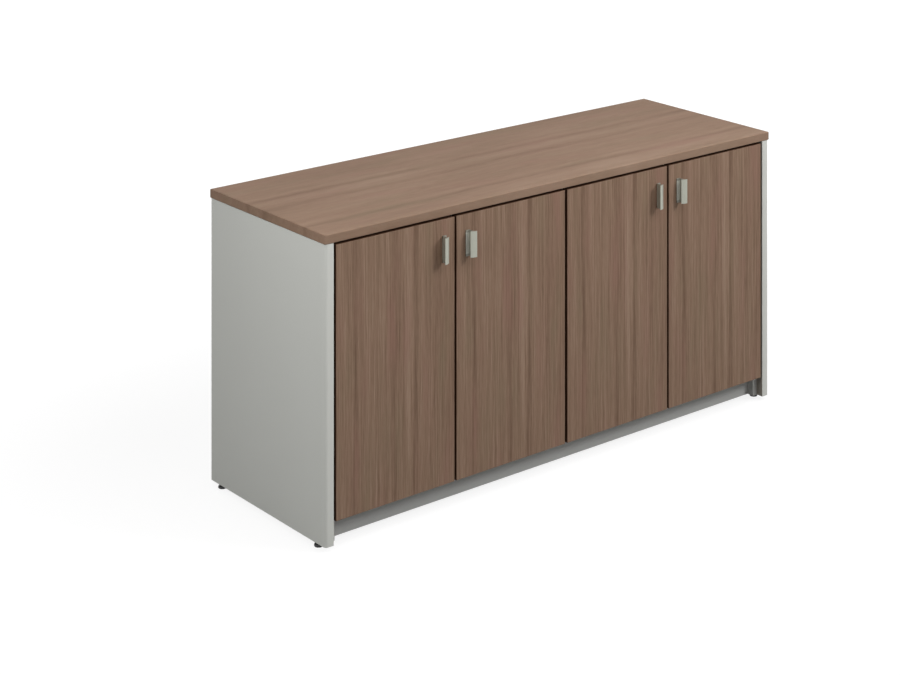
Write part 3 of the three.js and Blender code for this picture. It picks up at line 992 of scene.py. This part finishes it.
class CREDENZA_OT_shelf_pins(bpy.types.Operator):
    """Turned nickel pins under the shelves"""
    bl_idname = "credenza.shelf_pins"
    bl_label = "Shelf pins"

    shank = 2.4 * MM
    shank_length = 9.8 * MM
    shank_chamfer = 0.5 * MM
    collar_width = 1.2 * MM
    collar_chamfer = 0.2 * MM
    peg = 2.5 * MM
    peg_chamfer = 0.8 * MM

    def execute(self, context):
        finish = context.scene.credenza_finish
        material = nickel("nickel_shelf_pins", finish, 0.3)
        for bay in SIDES:
            for wall in ("outer", "inner"):
                inward = 1 if (bay == "left") == (wall == "outer") else -1
                for end in ENDS:
                    node = f"shelf_pin_{bay}_{wall}_{end}"
                    builder = self.pin(node, inward)
                    piece = add_piece(f"turned_{node}", builder, material, "case")
                    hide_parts(node)
        return {"FINISHED"}

    def pin(self, node, inward):
        """Shank, collar and peg on the node's own axis and length."""
        low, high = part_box(node)
        length = high.x - low.x
        collar = (high.z - low.z) / 2
        foot = Vector((low.x if inward > 0 else high.x, (low.y + high.y) / 2, (low.z + high.z) / 2))
        collar_foot = self.shank_length
        collar_top = collar_foot + self.collar_width
        profile = [
            (0, 0), (self.shank - self.shank_chamfer, 0), (self.shank, self.shank_chamfer),
            (self.shank, collar_foot), (collar - self.collar_chamfer, collar_foot),
            (collar, collar_foot + self.collar_chamfer), (collar, collar_top - self.collar_chamfer),
            (collar - self.collar_chamfer, collar_top), (self.peg, collar_top),
            (self.peg, length - self.peg_chamfer), (self.peg - self.peg_chamfer, length), (0, length),
        ]
        builder = bmesh.new()
        turned(builder, profile, sides=24)
        builder.transform(standing(foot, (inward, 0, 0)))
        return builder


class CREDENZA_OT_bumpers(bpy.types.Operator):
    """Soft stops behind the free edge of each door"""
    bl_idname = "credenza.bumpers"
    bl_label = "Door bumpers"

    edge_inset = 14 * MM
    rail_inset = 1 * MM

    def execute(self, context):
        finish = context.scene.credenza_finish
        hardware = context.scene.credenza_hardware
        material = moulded_plastic("dark_door_bumpers", finish.plastic, 0.6)
        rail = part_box("top_rail_front")
        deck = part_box("bottom_deck_left")
        for door, towards in DOORS.items():
            low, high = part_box(f"door_{door}")
            across = high.x - self.edge_inset if towards > 0 else low.x + self.edge_inset
            heights = (rail[0].z + hardware.bumper_radius + self.rail_inset, (deck[0].z + deck[1].z) / 2)
            places = [standing((across, high.y, height), TO_THE_BACK) for height in heights]
            builder = stamped(dome(hardware.bumper_radius, hardware.bumper_rise), places)
            add_piece(f"door_bumpers_{door}", builder, material, f"door_{door}")
        return {"FINISHED"}


class CREDENZA_OT_glides(bpy.types.Operator):
    """Levelling glides: a moulded foot on a threaded bolt with a hexagon lock nut"""
    bl_idname = "credenza.glides"
    bl_label = "Levelling glides"

    pad_radius = 11 * MM
    pad_height = 7 * MM
    neck_radius = 5 * MM
    neck_top = 8.5 * MM
    nut_foot = 8.55 * MM
    nut_top = 12.7 * MM
    nut_corner = 7.5 * MM
    nut_flat = 6.5 * MM
    nut_chamfer = 0.5 * MM
    thread_crest = 4 * MM
    thread_root = 3.4 * MM
    thread_overlap = 0.3 * MM

    def execute(self, context):
        finish = context.scene.credenza_finish
        pitch = context.scene.credenza_hardware.thread_pitch
        plastic = moulded_plastic("dark_plastic_glides", finish.plastic, 0.5)
        steel = zinc("zinc_glide_bolts", finish, 0.34, along_axis=2)
        for place in GLIDES:
            node = f"glide_{place}"
            low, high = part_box(node)
            centre = ((low.x + high.x) / 2, (low.y + high.y) / 2)
            foot = add_piece(f"glide_foot_{place}", self.foot(centre), plastic, node)
            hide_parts(node)
            add_piece(f"glide_bolt_{place}", self.bolt(centre, high.z, pitch), steel, node)
        return {"FINISHED"}

    def foot(self, centre):
        """Round pad with a soft rim, drawn in to a neck."""
        pad = self.pad_radius
        height = self.pad_height
        neck = self.neck_radius
        sole = [(0, 0), (pad - 1.8 * MM, 0), (pad - 0.6 * MM, 0.4 * MM), (pad, 1.4 * MM)]
        shoulder = [
            (pad, height - 2.4 * MM), (pad - 0.5 * MM, height - 1.1 * MM),
            (pad - 1.7 * MM, height - 0.3 * MM), (neck + 2.4 * MM, height),
            (neck + 1.2 * MM, height + 0.2 * MM), (neck + 0.4 * MM, height + 0.7 * MM),
        ]
        top = [(neck, self.neck_top), (0, self.neck_top)]
        builder = bmesh.new()
        turned(builder, sole + shoulder + top, 40, centre)
        return builder

    def bolt(self, centre, tip, pitch):
        """Hexagon nut with chamfered corners under a threaded stem."""
        profile = [
            (0, self.nut_foot), (self.nut_flat, self.nut_foot),
            (self.nut_corner, self.nut_foot + self.nut_chamfer),
            (self.nut_corner, self.nut_top - self.nut_chamfer),
            (self.nut_flat, self.nut_top), (0, self.nut_top),
        ]
        builder = bmesh.new()
        turned(builder, profile, 6, centre)
        foot = self.nut_top - self.thread_overlap
        length = tip - self.nut_top + self.thread_overlap
        thread(builder, centre, foot, length, self.thread_crest, self.thread_root, pitch)
        return builder


# Studio

class CREDENZA_OT_studio(bpy.types.Operator):
    """Pale floor, soft light and the camera"""
    bl_idname = "credenza.studio"
    bl_label = "Studio"

    def execute(self, context):
        studio = context.scene.credenza_studio
        make_floor()
        make_sky(context.scene, studio)
        make_lamps(studio)
        make_camera(context.scene, studio)
        context.scene.view_settings.view_transform = "Standard"
        return {"FINISHED"}


def seen_plainly(start):
    """1 for rays that show the background itself: from the camera, a reflection or clear material."""
    path = start.node("ShaderNodeLightPath").socket.node
    wires = [Wire(start.tree, path.outputs[name])
             for name in ("Is Camera Ray", "Is Glossy Ray", "Is Transmission Ray")]
    return wires[0].most(wires[1]).most(wires[2])


def make_floor():
    """A white floor that keeps the shadow near the credenza and fades to plain white further out. It is grey
    to the light that it throws back."""
    half_size = 14.0
    drop = 0.2 * MM
    shadow_reach = 0.9
    plain_reach = 2.4
    shadow_share = 0.22
    white_strength = 1.1
    mesh = bpy.data.meshes.new("studio_floor")
    builder = bmesh.new()
    bmesh.ops.create_grid(builder, x_segments=8, y_segments=8, size=half_size)
    builder.to_mesh(mesh)
    builder.free()
    floor = bpy.data.objects.new("studio_floor", mesh)
    floor.location.z = -drop
    bpy.context.scene.collection.objects.link(floor)
    material = bpy.data.materials.new("studio_floor")
    material.use_nodes = True
    tree = material.node_tree
    tree.nodes.clear()
    start = Wire(tree)
    x, y, _ = start.node("ShaderNodeTexCoord", output="Object").axes()
    reach = (x * x + y * y) ** 0.5
    keep = reach.ease(plain_reach, shadow_reach) * shadow_share
    glow = start.node("ShaderNodeEmission", None, {"Color": WHITE, "Strength": white_strength})
    pale = start.node("ShaderNodeBsdfDiffuse", None, {"Color": (0.9, 0.9, 0.9, 1)})
    grey = start.node("ShaderNodeBsdfDiffuse", None, {"Color": (0.25, 0.25, 0.25, 1)})
    seen_look = start.node("ShaderNodeMixShader", None, {0: keep, 1: glow, 2: pale})
    look = start.node("ShaderNodeMixShader", None, {0: seen_plainly(start), 1: grey, 2: seen_look})
    output = tree.nodes.new("ShaderNodeOutputMaterial")
    tree.links.new(look.socket, output.inputs["Surface"])
    mesh.materials.append(material)


def make_sky(scene, studio):
    """Even soft light from above the horizon; plain white where it is seen."""
    world = bpy.data.worlds.new("studio_sky")
    scene.world = world
    world.use_nodes = True
    tree = world.node_tree
    tree.nodes.clear()
    start = Wire(tree)
    height = start.node("ShaderNodeTexCoord", output="Generated").axes()[2]
    soft = height.ease(-0.1, 0.1) * studio.sky_strength
    lit = start.node("ShaderNodeBackground", None, {"Color": WHITE, "Strength": soft})
    plain = start.node("ShaderNodeBackground", None, {"Color": WHITE, "Strength": 1.0})
    look = start.node("ShaderNodeMixShader", None, {0: seen_plainly(start), 1: lit, 2: plain})
    output = tree.nodes.new("ShaderNodeOutputWorld")
    tree.links.new(look.socket, output.inputs["Surface"])


def make_lamps(studio):
    """A wide lamp above the front edge, a key lamp high at the front right and a fill lamp at the left. A
    rear lamp, lower than the top panel, lights the back alone."""
    add_lamp(
        "overhead_lamp", studio.overhead_power, size=(2.8, 0.8),
        place=(0.45, -1.1, 2.4), target=(0.2, -0.1, 0.6))
    add_lamp(
        "key_lamp", studio.key_power, size=(2.2, 2.0),
        place=(3.7, -4.5, 4.1), target=(0, -0.2, 0.5))
    add_lamp(
        "fill_lamp", studio.fill_power, size=(0.9, 0.9),
        place=(-2.0, -0.55, 1.4), target=(-0.76, -0.2, 0.45))
    add_lamp(
        "rear_lamp", studio.rear_power, size=(1.8, 0.5),
        place=(0.3, 2.8, 0.42), target=(0, 0.25, 0.4))


def add_lamp(name, power, size, place, target):
    """An area lamp of a power and size, put at a place, turned to its target and not seen itself."""
    data = bpy.data.lights.new(name, "AREA")
    data.shape = "RECTANGLE"
    data.size, data.size_y = size
    data.energy = power
    lamp = bpy.data.objects.new(name, data)
    lamp.location = place
    aim = Vector(target) - Vector(place)
    lamp.rotation_euler = aim.to_track_quat("-Z", "Y").to_euler()
    lamp.visible_camera = False
    bpy.context.scene.collection.objects.link(lamp)


def make_camera(scene, studio):
    """A view camera: its axis drops towards the credenza while its back stays upright,
    so that upright edges stay upright. The tripod carries that slant."""
    data = bpy.data.cameras.new("view_camera")
    data.lens = studio.lens
    camera = bpy.data.objects.new("view_camera", data)
    tripod = bpy.data.objects.new("tripod", None)
    tripod.location = studio.camera_place
    ahead = Vector((math.sin(studio.heading), math.cos(studio.heading), 0))
    right = Vector((ahead.y, -ahead.x, 0))
    up = Vector((0, 0, 1))
    back = up * math.sin(studio.drop) - ahead * math.cos(studio.drop)
    for item in (tripod, camera):
        scene.collection.objects.link(item)
    camera.parent = tripod
    camera.matrix_parent_inverse = Matrix((right, up, back)).transposed().to_4x4()
    scene.camera = camera


# Panel and registration

class CREDENZA_PT_panel(bpy.types.Panel):
    """Lists the steps that dress the credenza"""
    bl_idname = "CREDENZA_PT_panel"
    bl_label = "Credenza"
    bl_space_type = "VIEW_3D"
    bl_region_type = "UI"
    bl_category = "Credenza"

    def draw(self, context):
        for operator in OPERATORS:
            self.layout.operator(operator.bl_idname)


GROUPS = {
    "credenza_finish": CredenzaFinish,
    "credenza_hardware": CredenzaHardware,
    "credenza_studio": CredenzaStudio,
}
OPERATORS = (
    CREDENZA_OT_top, CREDENZA_OT_doors, CREDENZA_OT_case, CREDENZA_OT_edge_bands, CREDENZA_OT_fasteners,
    CREDENZA_OT_pulls, CREDENZA_OT_hinges, CREDENZA_OT_shelf_pins, CREDENZA_OT_bumpers, CREDENZA_OT_glides,
    CREDENZA_OT_studio,
)
CLASSES = (*GROUPS.values(), *OPERATORS, CREDENZA_PT_panel)


def register():
    for item in CLASSES:
        bpy.utils.register_class(item)
    for name, group in GROUPS.items():
        setattr(bpy.types.Scene, name, bpy.props.PointerProperty(type=group))


def unregister():
    for name in GROUPS:
        delattr(bpy.types.Scene, name)
    for item in reversed(CLASSES):
        bpy.utils.unregister_class(item)


def main():
    register()
    for operator in OPERATORS:
        step = operator.bl_idname.split(".")[1]
        getattr(bpy.ops.credenza, step)()


if __name__ == "__main__":
    main()
